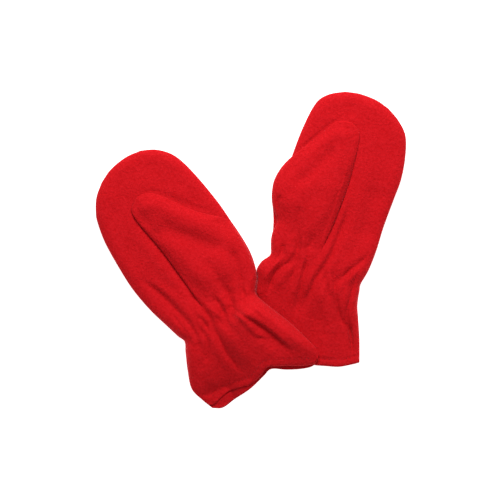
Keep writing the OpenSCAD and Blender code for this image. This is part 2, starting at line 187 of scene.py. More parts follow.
# Folds, each as a height, a width, how sharp it is (2 is round, 1 is a crease) and its route
PALM_FOLDS = {
    "right": [
        (-1.3, 1.8, 1.5, [(-17, 136), (-15.6, 121), (-12.6, 92), (-11.6, 60), (-11.2, 30),
                          (-11, 8)]),
        (2.0, 7.0, 2.0, [(-23, 124), (-21, 92), (-19, 60), (-18.5, 30), (-17, 10)]),
        (-3.0, 1.7, 1.5, [(-12.5, 40), (-11, 26), (-9.5, 14), (-8, 5)]),
        (-1.5, 2.2, 1.7, [(4, 148), (16, 142), (24.5, 130.5), (32.5, 117.5), (41.5, 104.5),
                          (51.5, 92.5)]),
        (-2.6, 3.2, 1.8, [(-44, 76), (-40, 64), (-36, 50), (-33, 34), (-30, 16), (-28, 1)]),
        (2.2, 4.4, 2.0, [(-36, 70), (-31, 54), (-27, 38), (-24, 20), (-22, 4)]),
        (-1.6, 2.4, 1.8, [(-38, 30), (-37, 16), (-36, 4)]),
        (-2.6, 2.3, 1.7, [(-19, 16), (-17, 6), (-17, -2)]),
        (-2.8, 2.3, 1.7, [(5, 22), (6, 10), (5, 0)]),
        (-3.0, 2.5, 1.7, [(20, 27), (18, 14), (16, 5), (14, -2)]),
        (-3.0, 2.6, 1.7, [(40, 27), (34, 13), (27, 3)]),
        (2.6, 4.0, 2.0, [(30, 24), (26, 12), (22, 4)]),
        (2.2, 3.4, 2.0, [(12, 20), (11, 10), (10, 3)]),
        (1.8, 3.4, 2.0, [(-4, 20), (-3, 9), (-3, 2)]),
        (-1.8, 2.2, 1.8, [(-10, 18), (-10, 8), (-11, 0)]),
        (-1.4, 1.7, 1.4, [(14, 3), (19.5, -5), (23, -14), (27.5, -24), (31, -34), (34, -45),
                          (36, -56)]),
        (2.2, 7.2, 2.4, [(36, -9), (39, -22), (43, -37), (46, -52), (48, -66), (48, -78)]),
        (2.2, 7.0, 2.0, [(19, -38), (20, -48), (22, -60)]),
        (2.2, 3.6, 2.0, [(13, -2), (18, -10), (20, -20), (22, -30)]),
        (-3.4, 1.6, 1.4, [(-12, 2), (-13, -12), (-14, -22), (-15, -33), (-14, -48), (-12, -58)]),
        (2.4, 6.0, 2.0, [(-5, -6), (-5, -20), (-4, -36), (0, -54)]),
        (-2.8, 2.0, 1.6, [(-21, 2), (-23, -7), (-26, -15), (-32, -22), (-39, -31)]),
        (2.0, 3.6, 2.0, [(-18, -2), (-20, -14), (-22, -28), (-22, -46)]),
        (-2.4, 5.0, 2.0, [(-32, -4), (-37, -20), (-46, -36)]),
        (1.8, 6.0, 2.0, [(-36, -24), (-41, -40), (-42, -56)]),
        (-1.8, 2.4, 1.8, [(0, -2), (3, -12), (5, -26)]),
    ],
    "left": [
        (-1.9, 1.8, 1.5, [(7.5, 134), (5, 122), (1.9, 94), (0.6, 70), (0.4, 43), (1.4, 18),
                          (1, 4)]),
        (1.6, 3.2, 2.0, [(-3, 80), (-3.5, 60), (-3.5, 35), (-2.5, 14), (0, -4)]),
        (-3.4, 2.6, 1.6, [(-7, 72), (-9, 54), (-9, 35), (-8.5, 20), (-6.5, 8), (-5, 0), (-3, -9),
                          (-2.5, -21), (-1, -44)]),
        (1.8, 8.0, 2.0, [(-8, 118), (-14, 92), (-17, 60), (-18, 26)]),
        (-2.2, 13.0, 2.0, [(-25, 104), (-28, 84), (-31, 58), (-33, 40)]),
        (-3.0, 2.2, 1.7, [(30, 29), (25, 14), (22, 2), (20, -8), (20, -20)]),
        (2.2, 3.4, 2.0, [(24, 28), (19, 14), (16, 2), (14, -8)]),
        (-3.2, 2.3, 1.6, [(26, 1), (31, -7), (35.5, -15), (37, -24), (36, -36)]),
        (2.8, 4.0, 2.0, [(33, 4), (39, -6), (43, -18), (44, -32)]),
        (2.2, 3.6, 2.0, [(23, -2), (27, -14), (30, -30)]),
        (-3.0, 2.2, 1.7, [(13, 9), (11, -2), (8.5, -14), (5.5, -30), (4, -50)]),
        (2.0, 3.4, 2.0, [(5, 6), (3, -10), (1, -30)]),
        (2.0, 3.4, 2.0, [(17, -4), (14, -16), (12, -34)]),
        (-2.6, 2.2, 1.7, [(-9, 3), (-13, -7), (-19, -16), (-24, -23)]),
        (1.8, 3.4, 2.0, [(-14, 2), (-20, -9), (-26, -18)]),
        (-3.6, 2.2, 1.5, [(-14, 12), (-19, 1), (-25, -13), (-33, -26), (-42, -36), (-54, -44),
                          (-64, -60)]),
        (2.4, 5.0, 2.0, [(-11, -14), (-20, -28), (-30, -42), (-42, -58)]),
        (-2.6, 2.8, 1.7, [(-24, -5), (-28, 5), (-32, 13), (-38, 23), (-43, 34)]),
        (1.8, 3.6, 2.0, [(-31, -2), (-36, 8), (-42, 18)]),
        (-1.2, 1.3, 1.5, [(28, 151.3), (36.5, 146.2), (41.5, 139), (46.5, 129.5), (56, 113),
                          (61.5, 104)]),
        (-3.2, 1.9, 1.5, [(-38, 12), (-40, 5), (-42, -13), (-45, -30), (-54, -43), (-63, -61),
                          (-68, -72)]),
        (1.6, 3.0, 2.0, [(-46, -4), (-50, -20), (-58, -38), (-66, -54)]),
        (-2.6, 2.2, 1.8, [(40, 14), (38, 4), (40, -6)]),
        (1.8, 3.4, 2.0, [(34, 18), (31, 5)]),
        (-1.8, 6.0, 2.0, [(-14, -36), (-18, -58), (-22, -80)]),
        (1.6, 6.0, 2.0, [(-32, -54), (-38, -68), (-42, -80)]),
    ],
}
# Two rolls of cloth on the right-hand cuff that drop off sharply at these lines, and each one's
# height, softness and reach
RIDGE = [(14, 12), (16, 2), (20, -8), (24, -17), (28.5, -26), (32, -35), (35.5, -46), (38.5, -58),
         (41, -70)]
SMALL_RIDGE = [(9, 4), (12, -4), (15, -12), (16.5, -24), (19.5, -34), (30, -45)]
RIDGE_SHAPE = (5.4, 2.0, 15)
SMALL_RIDGE_SHAPE = (2.2, 1.3, 7)
THUMB_FOLDS = {
    "right": [
        (-4.0, 9.0, 2.0, [(-1, 118), (5.5, 104), (15, 90), (25, 76), (35.5, 60), (44, 46)]),
        (2.4, 7.5, 2.0, [(0, 137), (13, 129), (22, 114), (30, 101), (40, 87), (52, 75)]),
        (-2.6, 5.0, 2.0, [(48, 50), (43, 36), (38, 22)]),
        (2.8, 9.0, 2.0, [(-6, 108), (-3, 86), (2, 56), (9, 30)]),
        (-1.4, 4.0, 2.0, [(20, 58), (20, 42), (17, 24)]),
        (1.6, 6.0, 2.0, [(34, 62), (34, 44), (30, 26)]),
    ],
    "left": [
        (-3.0, 7.0, 2.0, [(27, 124), (34, 104), (43, 85), (53, 67)]),
        (1.6, 5.0, 2.0, [(27, 143), (38, 126), (48, 108), (58, 92)]),
        (-2.2, 2.2, 1.6, [(59, 58), (60.5, 50), (56, 38)]),
        (2.2, 8.0, 2.0, [(11, 120), (11, 96), (12, 64), (16, 36)]),
        (-2.4, 4.6, 2.0, [(38, 56), (34, 38), (29, 20)]),
        (-1.2, 4.0, 2.0, [(16, 34), (14, 22), (12, 12)]),
        (0.5, 1.0, 1.8, [(12.5, 130), (9.8, 112), (6.8, 90), (5.6, 72), (4.6, 55), (4.4, 36)]),
    ],
}


# --- curves, distances and noise -------------------------------------------------------------
def smooth(t):
    """An S curve from 0 to 1 as t goes from 0 to 1"""
    t = np.clip(t, 0.0, 1.0)
    return t * t * (3 - 2 * t)


def roll(t):
    """A quarter round from 0 at the edge to 1"""
    k = 1 - np.clip(t, 0.0, 1.0)
    return np.sqrt(1 - k * k)


def curve(points, n):
    """n places spaced evenly along a smooth curve through the points"""
    steps = 24
    p = np.array(points, float)
    ends = [2 * p[0] - p[1], *p, 2 * p[-1] - p[-2]]
    q = np.array(ends)
    fine = []
    for i in range(1, len(q) - 2):
        f = np.linspace(0, 1, steps, endpoint=False)[:, None]
        a, b, c, d = q[i - 1], q[i], q[i + 1], q[i + 2]
        fine.append(b + 0.5 * f * ((c - a) + f * ((2 * a - 5 * b + 4 * c - d)
                                                  + f * (3 * b - a - 3 * c + d))))
    fine = np.vstack([*fine, p[-1:]])
    run = np.concatenate([[0], np.cumsum(np.linalg.norm(np.diff(fine, axis=0), axis=1))])
    want = np.linspace(0, run[-1], n)
    return np.stack([np.interp(want, run, fine[:, k]) for k in range(p.shape[1])], -1)


def distance(p, line, with_place=False):
    """How far each place is from a line of points, and how far along it the nearest point is"""
    best = np.full(p.shape[:-1], 1e9)
    place = np.zeros(p.shape[:-1])
    count = len(line) - 1
    for i in range(count):
        a, d = line[i], line[i + 1] - line[i]
        t = np.clip(((p - a) @ d) / max(d @ d, 1e-9), 0, 1)
        far = np.linalg.norm(p - a - t[..., None] * d, axis=-1)
        nearer = far < best
        best = np.where(nearer, far, best)
        place = np.where(nearer, (i + t) / count, place)
    return (best, place) if with_place else best


def noise(p, cell, seed):
    """Smooth seeded noise from about -1 to 1, with swellings about one cell across"""
    angle = np.random.default_rng(seed).uniform(0, 2 * np.pi, (64, 64))
    q = p / cell + 512
    i = np.floor(q).astype(int)
    f = q - i
    s = f * f * f * (f * (f * 6 - 15) + 10)

    def corner(a, b):
        t = angle[(i[..., 0] + a) % 64, (i[..., 1] + b) % 64]
        return np.cos(t) * (f[..., 0] - a) + np.sin(t) * (f[..., 1] - b)

    low = corner(0, 0) + s[..., 0] * (corner(1, 0) - corner(0, 0))
    high = corner(0, 1) + s[..., 0] * (corner(1, 1) - corner(0, 1))
    return 1.4 * (low + s[..., 1] * (high - low))


def waves(p, parts, seed):
    """Noise added up from parts, each a height and a width"""
    return sum(height * noise(p, cell, seed + k) for k, (height, cell) in enumerate(parts))


def folded(p, folds):
    """The height that a list of folds adds at each place"""
    run_out, least = 0.22, 0.25     # the share of a route where it fades, and to what share
    total = np.zeros(p.shape[:-1])
    for height, width, power, route in folds:
        line = curve(route, 5 * len(route))
        d, along = distance(p, line, with_place=True)
        fade = smooth(along / run_out) * smooth((1 - along) / run_out) * (1 - least) + least
        total += height * fade * np.exp(-((d / width) ** power))
    return total


def ledge(p, route, height, soft, reach):
    """A roll of cloth that drops off sharply at a line, on the line's left as it goes"""
    run_out = 0.25                  # the share of the route over which each end fades
    line = curve(route, 6 * len(route))
    d, along = distance(p, line, with_place=True)
    run = (along * (len(line) - 1)).astype(int).clip(0, len(line) - 2)
    a, way = line[run], line[run + 1] - line[run]
    off = p - a
    side_of = np.sign(way[..., 0] * off[..., 1] - way[..., 1] * off[..., 0])
    fade = smooth(along / run_out) * smooth((1 - along) / run_out)
    return height * fade * smooth(0.5 + side_of * d / (2 * soft)) * np.exp(-((d / reach) ** 2))


def gathers(seed, count, reach, height):
    """Small seeded pleats that run up and down from the elastic"""
    rng = np.random.default_rng(seed)
    first, span = -40, 82           # where along the wrist they start and how wide they spread
    made = []
    for i in range(count):
        u = first + span * (i + rng.uniform(0.2, 0.8)) / count
        up = rng.uniform(0.5, 1.0) * reach
        down = rng.uniform(0.4, 1.0) * reach
        lean = rng.uniform(-0.25, 0.25)
        sign = 1 if i % 2 else -1
        made.append((sign * height * rng.uniform(0.7, 1.3), rng.uniform(1.4, 2.4), 1.8,
                     [(u + lean * up, up), (u, 0), (u * 1.1 - lean * down, -down)]))
    return made


def patch(left, right, start, end, rows, cols, keep=4):
    """A grid between two sides, with curved ends whose shape fades away from them"""
    crowding, samples = 0.62, 400   # how much the columns crowd to both sides
    t = np.linspace(0, 1, rows)
    x = np.linspace(0, 1, cols)
    s = x - crowding * np.sin(2 * np.pi * x) / (2 * np.pi)
    low, high = curve(left, rows), curve(right, rows)
    first, last = curve(start, samples), curve(end, samples)

    def bulge(line):
        even = np.linspace(0, 1, samples)
        at = np.stack([np.interp(s, even, line[:, k]) for k in (0, 1)], -1)
        return at - ((1 - s)[:, None] * line[0] + s[:, None] * line[-1])

    grid = (1 - s)[None, :, None] * low[:, None] + s[None, :, None] * high[:, None]
    grid = grid + ((1 - t) ** keep)[:, None, None] * bulge(first)[None]
    return grid + (t ** keep)[:, None, None] * bulge(last)[None]


# --- the cloth's heights ---------------------------------------------------------------------
def climb(side, p):
    """How far the right-hand cuff is raised on the other cuff, or lowered at its free corner"""
    if side == "left":
        return np.zeros(p.shape[:-1])
    u, v = p[..., 0], p[..., 1]
    raised = CLIMB * smooth((3 - v) / 16) * smooth((u - 0.53 * v + 8) / 38)
    return raised - CORNER_DROP * smooth((-42 - v) / 24) * smooth((-22 - u) / 24)


def outline(side, over=False):
    """The sewn edge from hem to hem round the tip, or that with the thumb's overhang"""
    h = PAIR[side]
    last = h.get("over", h["thumb"]) if over else h["thumb"]
    return np.vstack([curve(h["little"], 120), curve(h["tip"], 30), curve(last, 140)[::-1]])


def within(p, loop):
    """Whether each place is inside a closed loop of points"""
    x, y = p[..., 0], p[..., 1]
    inside = np.zeros(p.shape[:-1], bool)
    for a, b in zip(loop, np.roll(loop, -1, axis=0)):
        if a[1] == b[1]:
            continue
        crosses = (a[1] > y) != (b[1] > y)
        inside ^= crosses & (x < a[0] + (y - a[1]) * (b[0] - a[0]) / (b[1] - a[1]))
    return inside


def seam_distance(side, p, over=False):
    """How far inside the mitten's sewn outline each place is, and 0 outside it"""
    edge = outline(side, over)
    past_hem = [edge[-1] + [30, -60], edge[0] + [-30, -60]]
    return np.where(within(p, np.vstack([edge, past_hem])), distance(p, edge), 0.0)


def in_stall(side, p):
    """1 deep inside the thumb stall's outline, 0 outside it"""
    h, soft = PAIR[side], 8
    edge = np.vstack([curve(h["stall_low"], 30), curve(h["stall_tip"], 10),
                      curve(h["stall_high"], 24)[::-1], curve(h["base"], 24)[::-1]])
    return np.where(within(p, edge), smooth(distance(p, edge) / soft), 0.0)


def beyond(x, soft):
    """0 below nothing and x above it, turning softly"""
    return soft * np.log1p(np.exp(np.clip(x / soft, -30, 30)))


def wrist_rise(side, p):
    """How much higher than flat the palm panel stands, because the elastic gathers the wrist"""
    u, v = p[..., 0], p[..., 1]
    reach, soft = 34, 6             # how far up the hand it goes, and how softly the cuff turns
    above = WRIST_RISE[side] * np.exp(-((v / reach) ** 2))
    start, slope = CUFF_FALL[side]
    below = WRIST_RISE[side] - slope * (beyond(start - v, soft) - beyond(start, soft))
    if side == "left":              # the cuff lies flatter towards its hem
        below = below * smooth((v + 60) / 50) - 1.0 * smooth((-v - 20) / 50)
    else:                           # the side on the other cuff keeps its height for longer
        lobe = LOBE_RISE * np.exp(-((v / 60) ** 2)) - slope * beyond(-68 - v, 5)
        below = below + smooth((u - 0.2 * v + 3) / 30) * (lobe - below)
    return above + smooth(-v / soft) * (below - above)


def palm_face(side, p, over=False):
    """The palm panel's outer face, which goes on under the thumb where that hangs over"""
    d, v = seam_distance(side, p, over), p[..., 1]
    seam, seed = MID + climb(side, p), SEEDS[side]["palm"]
    z = seam + (HALF + wrist_rise(side, p)) * roll(d / EDGE) + CROWN * smooth(d / 45)
    z = z - STITCH_DIP * np.exp(-((v / 6) ** 2)) * smooth(d / 8)
    soft = FOLD_SHARE[side] * folded(p, PALM_FOLDS[side]) + folded(p, gathers(seed, *PALM_PLEATS))
    if side == "right":
        soft = soft + ledge(p, RIDGE, *RIDGE_SHAPE) + ledge(p, SMALL_RIDGE, *SMALL_RIDGE_SHAPE)
    z = z + soft * smooth(d / 9)
    z = z + waves(p, SWELL, seed) * smooth(d / 12)
    least = seam + 0.4 * roll(d / EDGE)
    if side == "right":
        least = least - CUFF_SINK * smooth((-42 - v) / 24) * smooth((d - 1) / 14)
    under_thumb = in_stall(side, p) * smooth((v - 14) / 32)
    z = np.maximum(z - THUMB_DENT * under_thumb, least)
    if side == "left":
        q = local("right", world("left", p, z))
        roof = back_face("right", q) - CUFF_GAP
        z = np.where(seam_distance("right", q) > 0, np.minimum(z, np.maximum(roof, MID)), z)
    return z


def back_face(side, p):
    """The back panel's outer face, underneath"""
    d = seam_distance(side, p)
    z = MID + climb(side, p) - HALF * roll(d / EDGE)
    ripple = np.abs(folded(p, gathers(SEEDS[side]["back"], *BACK_PLEATS)))
    return z + ripple * smooth(d / 9)


def stall_lines(side):
    """The sewn edge of the thumb stall, from its low end round the tip to its high end"""
    h = PAIR[side]
    return np.vstack([curve(h["stall_low"], 60), curve(h["stall_tip"], 20),
                      curve(h["stall_high"], 50)[::-1]])


def base_level(p):
    """Where the thumb's cloth meets the palm's: just under it at the wrist, just over it above"""
    low, high = -0.6, 0.35
    return low + (high - low) * smooth((p[..., 1] - 16) / 20)


def stall_edge(side, p):
    """How high the thumb stall's side seam is above the palm"""
    near = distance(p, curve(PAIR[side]["base"], 60))
    return base_level(p) + STALL_LIFT * smooth((near - 3) / 30)


def thumb_face(side, p, d_edge, d_base):
    """The height of the thumb's upper face over the palm"""
    up_side = smooth((p[..., 1] - 10) / 50)
    rise = (1 - up_side) * smooth(d_base / 70) + up_side * roll(d_base / PAIR[side]["base_round"])
    tip = np.array(PAIR[side]["stall_tip"][2])
    near_tip = smooth(np.linalg.norm(p - tip, axis=-1) / 70)
    crown = base_level(p) + (THUMB_RISE - TIP_DROP * (1 - near_tip)) * rise
    edge = stall_edge(side, p)
    broad = 15 + 8 * near_tip
    shape = 0.22 * roll(d_edge / 8) + 0.78 * smooth(0.15 + 0.85 * d_edge / broad)
    z = edge + (crown - edge) * shape
    inside = smooth(d_edge / 6) * smooth(d_base / 18)
    z = z + folded(p, THUMB_FOLDS[side]) * inside
    return z + waves(p, THUMB_SWELL, SEEDS[side]["thumb"]) * inside


# --- frames and meshes -----------------------------------------------------------------------
def axes(side):
    """A mitten's own origin and its ways to the thumb's side and to the fingertips, in metres"""
    mount = mounts[side + "_wrist"]
    axis = mount["axis"]
    fingers = np.array([-axis[0], -axis[1]])
    turn = 1 if side == "right" else -1
    thumb = turn * np.array([fingers[1], -fingers[0]])
    return np.array(mount["pos_m"][:2]), thumb, fingers


def world(side, p, z):
    """Places in a mitten's own frame, and heights, both in mm, to the shared frame in metres"""
    origin, thumb, fingers = axes(side)
    xy = origin + MM * (p[..., :1] * thumb + p[..., 1:2] * fingers)
    return np.concatenate([xy, MM * z[..., None]], -1)


def local(side, xyz):
    """Places in the shared frame, in metres, to a mitten's own frame, in mm"""
    origin, thumb, fingers = axes(side)
    offset = (xyz[..., :2] - origin) / MM
    return np.stack([offset @ thumb, offset @ fingers], -1)


def join_edges():
    """Gives the left-hand mitten's thumb side the right-hand one's edge, where the two touch"""
    first, last = -4.0, 18.0        # how far along the right-hand mitten they touch
    overlap, closing = 0.06, 0.12   # how far they meet, and how much more for each mm below 2
    edge = curve(PAIR["right"]["thumb"], 280)
    edge = edge[(edge[:, 1] > first) & (edge[:, 1] < last)][::4]
    met = local("left", world("right", edge, np.zeros(len(edge))))
    met[:, 0] += closing * np.clip(2 - edge[:, 1], 0, 8) + overlap
    for key in ("thumb", "over"):
        line = PAIR["left"][key]
        below = [q for q in line if q[1] < met[0, 1] - 1.8]
        above = [q for q in line if q[1] > met[-1, 1] + 2.0]
        PAIR["left"][key] = below + [tuple(q) for q in met] + above


def mesh_object(name, verts, faces, material):
    """A smooth-shaded piece in the scene, from places in metres and faces"""
    mesh = bpy.data.meshes.new(name)
    mesh.from_pydata(verts.reshape(-1, 3).tolist(), [], faces)
    mesh.validate()
    mesh.polygons.foreach_set("use_smooth", [True] * len(mesh.polygons))
    mesh.materials.append(material)
    mesh.update()
    made = bpy.data.objects.new(name, mesh)
    bpy.context.scene.collection.objects.link(made)
    return made


def sheet_mesh(name, side, p, low, high, material, hole=None):
    """A closed sheet of cloth between a lower and an upper face over one grid"""
    rows, cols = low.shape
    verts = np.concatenate([world(side, p, low), world(side, p, high)])
    far = rows * cols
    solid = np.ones((rows - 1, cols - 1), bool) if hole is None else ~hole
    pad = np.pad(solid, 1)
    flip = side == "left"           # its frame is mirrored
    faces = []

    def face(*corners):
        faces.append(corners[::-1] if flip else corners)

    for i, j in zip(*np.nonzero(solid)):
        a, b = i * cols + j, i * cols + j + 1
        c, d = b + cols, a + cols
        face(a + far, b + far, c + far, d + far)
        face(a, d, c, b)
        if not pad[i, j + 1]:
            face(a, b, b + far, a + far)
        if not pad[i + 1, j + 2]:
            face(b, c, c + far, b + far)
        if not pad[i + 2, j + 1]:
            face(c, d, d + far, c + far)
        if not pad[i + 1, j]:
            face(d, a, a + far, d + far)
    used = sorted({int(k) for f in faces for k in f})
    place = {k: n for n, k in enumerate(used)}
    faces = [[place[int(k)] for k in f] for f in faces]
    return mesh_object(name, verts.reshape(-1, 3)[used], faces, material)


# --- panels and thumbs -----------------------------------------------------------------------
def hem_shape(side, which, p):
    """How the turned hem rounds the cloth's end, thickens it and dips along its stitching"""
    drop, reach = 1.5, 3.0          # how far the very end rounds over, and over how far
    end = distance(p, curve(PAIR[side][which + "_hem"], 160))
    thick = CLOTH + HEM_EXTRA[side] * smooth((HEM + 1 - end) / 2)
    dimple = 0.8 * HEM_EXTRA[side] * np.exp(-(((end - STITCH_LINE) / 1.1) ** 2))
    return drop * (1 - roll(end / reach)), thick, dimple


def parted(d):
    """How far two panels have come apart, from 0 at their seam to 1, at a distance from it"""
    return smooth((d - 1.5) / 6)


def palm_faces(side, p):
    """Heights of the palm panel's inner and outer faces"""
    d, seam = seam_distance(side, p), MID + climb(side, p)
    round_end, thick, dimple = hem_shape(side, "palm", p)
    outer = palm_face(side, p)
    inner = seam + SEAM_GAP + parted(d) * (outer - thick - seam)
    back = back_faces(side, p)[1] + 0.4 * smooth(d / 6)
    inner = np.maximum(inner, back)
    outer = outer + waves(p, NUBS, NUB_SEEDS["outside"]) * smooth(d / 4) - round_end - dimple
    outer = np.maximum(outer, inner + 0.6 * smooth(d / 3) + THIN)
    return np.minimum(inner + round_end, outer - THIN), outer


def back_faces(side, p):
    """Heights of the back panel's outer face, underneath, and its inner face"""
    d, seam = seam_distance(side, p), MID + climb(side, p)
    round_end, thick, dimple = hem_shape(side, "back", p)
    outer = np.maximum(back_face(side, p), 0.0)
    inner = seam - SEAM_GAP - parted(d) * (seam - thick - outer)
    inner = inner + 0.25 * folded(p, gathers(*INNER_PLEATS)) * smooth(d / 9)
    inner = inner + waves(p, NUBS, NUB_SEEDS["inside"]) * smooth(d / 4)
    inner = inner - 0.5 * dimple - 0.4 * round_end
    inner = np.minimum(inner, seam - SEAM_GAP)
    if side == "right":
        end = distance(p, curve(PAIR[side]["back_hem"], 160))
        inner = np.minimum(inner, np.maximum(inner - 1.6 * (1 - smooth(end / 9)), outer + 0.8))
    return np.maximum(np.minimum(outer + round_end, inner - THIN), 0.0), inner


def panel_mesh(side, which, material):
    """The palm or the back panel of a mitten"""
    h = PAIR[side]
    hem = h[which + "_hem"]
    little = [hem[0]] + [q for q in h["little"] if q[1] > hem[0][1] + 4]
    thumb = [hem[-1]] + [q for q in h["thumb"] if q[1] > hem[-1][1] + 4]
    p = patch(little, thumb, hem, h["tip"], int(LONG / GRID), int(WIDE / GRID))
    low, high = palm_faces(side, p) if which == "palm" else back_faces(side, p)
    hole = None
    if which == "palm":
        past, deep = 9, 12          # how far past the fold and in from the seam the passage is
        passage = (past_fold(side, p) > past) & (seam_distance(side, p) > deep)
        passage &= (p[..., 1] > PASSAGE[0]) & (p[..., 1] < PASSAGE[1])
        hole = passage[:-1, :-1] & passage[1:, 1:]
    made = sheet_mesh(f"{side}_{which}_cloth", side, p, low, high, material, hole)
    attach(made, f"{side}_mitten")
    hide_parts(f"{side}_{which}_panel")


def fold_line(side):
    """The two ends of the fold that the thumb turns about, and the way from one to the other"""
    a, b = (np.array(q, float) for q in PAIR[side]["fold"])
    return a, b, (b - a) / np.linalg.norm(b - a)


def past_fold(side, p):
    """How far each place is on the thumb's side of the fold that the thumb turns about"""
    a, _, way = fold_line(side)
    return (p[..., 0] - a[0]) * way[1] - (p[..., 1] - a[1]) * way[0]


def thumb_layers(side, p):
    """The heights of the thumb's two layers of cloth, from the lowest face to the highest"""
    thin, lift = 0.25, 0.5          # the least thickness, and the gap over the palm
    edge_line, base_line = stall_lines(side), curve(PAIR[side]["base"], 80)
    d_edge, d_base = distance(p, edge_line), distance(p, base_line)
    palm = palm_face(side, p, over=True)
    top = palm + thumb_face(side, p, d_edge, d_base)
    seam = palm + stall_edge(side, p)
    fade = smooth((d_edge - 0.8) / 5)
    ceiling = seam + SEAM_GAP + fade * (top - CLOTH - seam - SEAM_GAP)
    nubs = waves(p, NUBS, NUB_SEEDS["outside"]) * smooth(d_edge / 3) * smooth(d_base / 4)
    top = np.maximum(top + nubs, ceiling + thin)
    under = palm + lift + (seam - palm - lift) * (1 - roll(d_edge / 9))
    hollow = seam - SEAM_GAP - fade * (seam - SEAM_GAP - under - CLOTH)
    hollow = np.minimum(hollow, ceiling - 0.1 - 0.8 * smooth(d_edge / 5))
    under = np.minimum(under, hollow - thin)
    return under, hollow, ceiling, top


def thumb_meshes(side, material):
    """The front and the back of a thumb stall"""
    h = PAIR[side]
    rows, cols = 118, 76
    p = patch(h["stall_low"], h["stall_high"], h["base"], h["stall_tip"], rows, cols, keep=3)
    under, hollow, ceiling, top = thumb_layers(side, p)
    front = sheet_mesh(f"{side}_thumb_front_cloth", side, p, ceiling, top, material)
    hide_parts(f"{side}_thumb_base", f"{side}_thumb_front")
    open_to_hand = (past_fold(side, p) > 8) & (seam_distance(side, p) > 3)
    open_to_hand |= distance(p, curve(h["base"], 80)) < 5
    hole = open_to_hand[:-1, :-1] & open_to_hand[1:, 1:]
    back = sheet_mesh(f"{side}_thumb_back_cloth", side, p, under, hollow, material, hole)
    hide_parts(f"{side}_thumb_back")
    for piece in (front, back):
        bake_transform(piece)


# --- materials -------------------------------------------------------------------------------
def new_material(name):
    """A material with its node tree and its shader"""
    made = bpy.data.materials.new(name)
    made.use_nodes = True
    return made, made.node_tree, made.node_tree.nodes["Principled BSDF"]


def node(tree, kind, **inputs):
    """A new node; an underscore in an input's name stands for a space"""
    made = tree.nodes.new(kind)
    for key, value in inputs.items():
        made.inputs[key.replace("_", " ")].default_value = value
    return made


def ramp(tree, source, low, high, first=0.0, last=1.0):
    """A colour that goes from low to high as the source goes from first to last"""
    made = tree.nodes.new("ShaderNodeValToRGB")
    for stop, place, colour in zip(made.color_ramp.elements, (first, last), (low, high)):
        stop.position = place
        stop.color = (*colour, 1)
    tree.links.new(source, made.inputs["Fac"])
    return made.outputs["Color"]


def bump(tree, source, strength, depth, under=None):
    """Fine relief from a source, over the relief under it if there is one"""
    made = node(tree, "ShaderNodeBump", Strength=strength, Distance=depth)
    tree.links.new(source, made.inputs["Height"])
    if under:
        tree.links.new(under, made.inputs["Normal"])
    return made.outputs["Normal"]


def fleece_material():
    """Brushed red fleece: nubs and fibres over a broad mottle, with a pink sheen. The red is
    painted darker in the hollows between the nubs and fibres as painted shade, and lighter on their
    tops as painted highlight
    """
    made, tree, shader = new_material("red_fleece")
    link = tree.links.new
    where = tree.nodes.new("ShaderNodeTexCoord")
    nubs = node(tree, "ShaderNodeTexNoise", Scale=430.0, Detail=3.0, Roughness=0.55, Distortion=0.4)
    fibres = node(tree, "ShaderNodeTexNoise", Scale=1500.0, Detail=4.0, Roughness=0.7)
    broad = node(tree, "ShaderNodeTexNoise", Scale=55.0, Detail=3.0, Roughness=0.5)
    for texture in (nubs, fibres, broad):
        link(where.outputs["Object"], texture.inputs["Vector"])
    fibre_share = 0.35              # of the fine pattern; the rest is nubs
    painted_pile_shade = tree.nodes.new("ShaderNodeMath")
    painted_pile_shade.operation = "MULTIPLY_ADD"
    painted_pile_shade.inputs[1].default_value = fibre_share
    link(fibres.outputs["Fac"], painted_pile_shade.inputs[0])
    share = tree.nodes.new("ShaderNodeMath")
    share.operation = "MULTIPLY"
    share.inputs[1].default_value = 1 - fibre_share
    link(nubs.outputs["Fac"], share.inputs[0])
    link(share.outputs[0], painted_pile_shade.inputs[2])
    tint = tree.nodes.new("ShaderNodeMix")
    tint.data_type = "RGBA"
    tint.blend_type = "MULTIPLY"
    tint.inputs[0].default_value = 0.5
    # The red goes darker where the nubs and fibres are low, as painted shade in their hollows, and
    # lighter where they are high, as painted highlight
    link(ramp(tree, painted_pile_shade.outputs[0], *FLEECE_COLOURS_WITH_PAINTED_PILE_SHADE, 0.28, 0.70), tint.inputs[6])
    mottle = ramp(tree, broad.outputs["Fac"], *MOTTLE_COLOURS, 0.35, 0.65)
    link(mottle, tint.inputs[7])
    link(tint.outputs[2], shader.inputs["Base Color"])
    relief = bump(tree, nubs.outputs["Fac"], 0.75, 0.0011)
    link(bump(tree, fibres.outputs["Fac"], 0.6, 0.0004, relief), shader.inputs["Normal"])
    shader.inputs["Roughness"].default_value = 0.95
    shader.inputs["Specular IOR Level"].default_value = 0.06
    shader.inputs["Sheen Weight"].default_value = 0.42
    shader.inputs["Sheen Roughness"].default_value = 0.30
    shader.inputs["Sheen Tint"].default_value = (1.0, 0.24, 0.28, 1)
    return made


def striped_material(name, colours, scale, distortion, relief, bands="X"):
    """A matt material with fine stripes in colour and relief, for thread and woven elastic"""
    made, tree, shader = new_material(name)
    where = tree.nodes.new("ShaderNodeTexCoord")
    stripes = node(tree, "ShaderNodeTexWave", Scale=scale, Distortion=distortion)
    stripes.bands_direction = bands
    tree.links.new(where.outputs["Object"], stripes.inputs["Vector"])
    source = stripes.outputs["Fac"]
    tree.links.new(ramp(tree, source, *colours), shader.inputs["Base Color"])
    tree.links.new(bump(tree, source, *relief), shader.inputs["Normal"])
    return made, shader


def thread_material():
    """Red sewing thread, with its twist"""
    made, shader = striped_material("red_thread", THREAD_COLOURS, 900.0, 1.5, (0.5, 0.0001))
    shader.inputs["Roughness"].default_value = 0.8
    shader.inputs["Specular IOR Level"].default_value = 0.2
    return made


def elastic_material():
    """Off-white woven elastic"""
    made, shader = striped_material("woven_elastic", ELASTIC_COLOURS, 420.0, 0.6, (0.6, 0.0002),
                                    "DIAGONAL")
    shader.inputs["Roughness"].default_value = 0.7
    return made


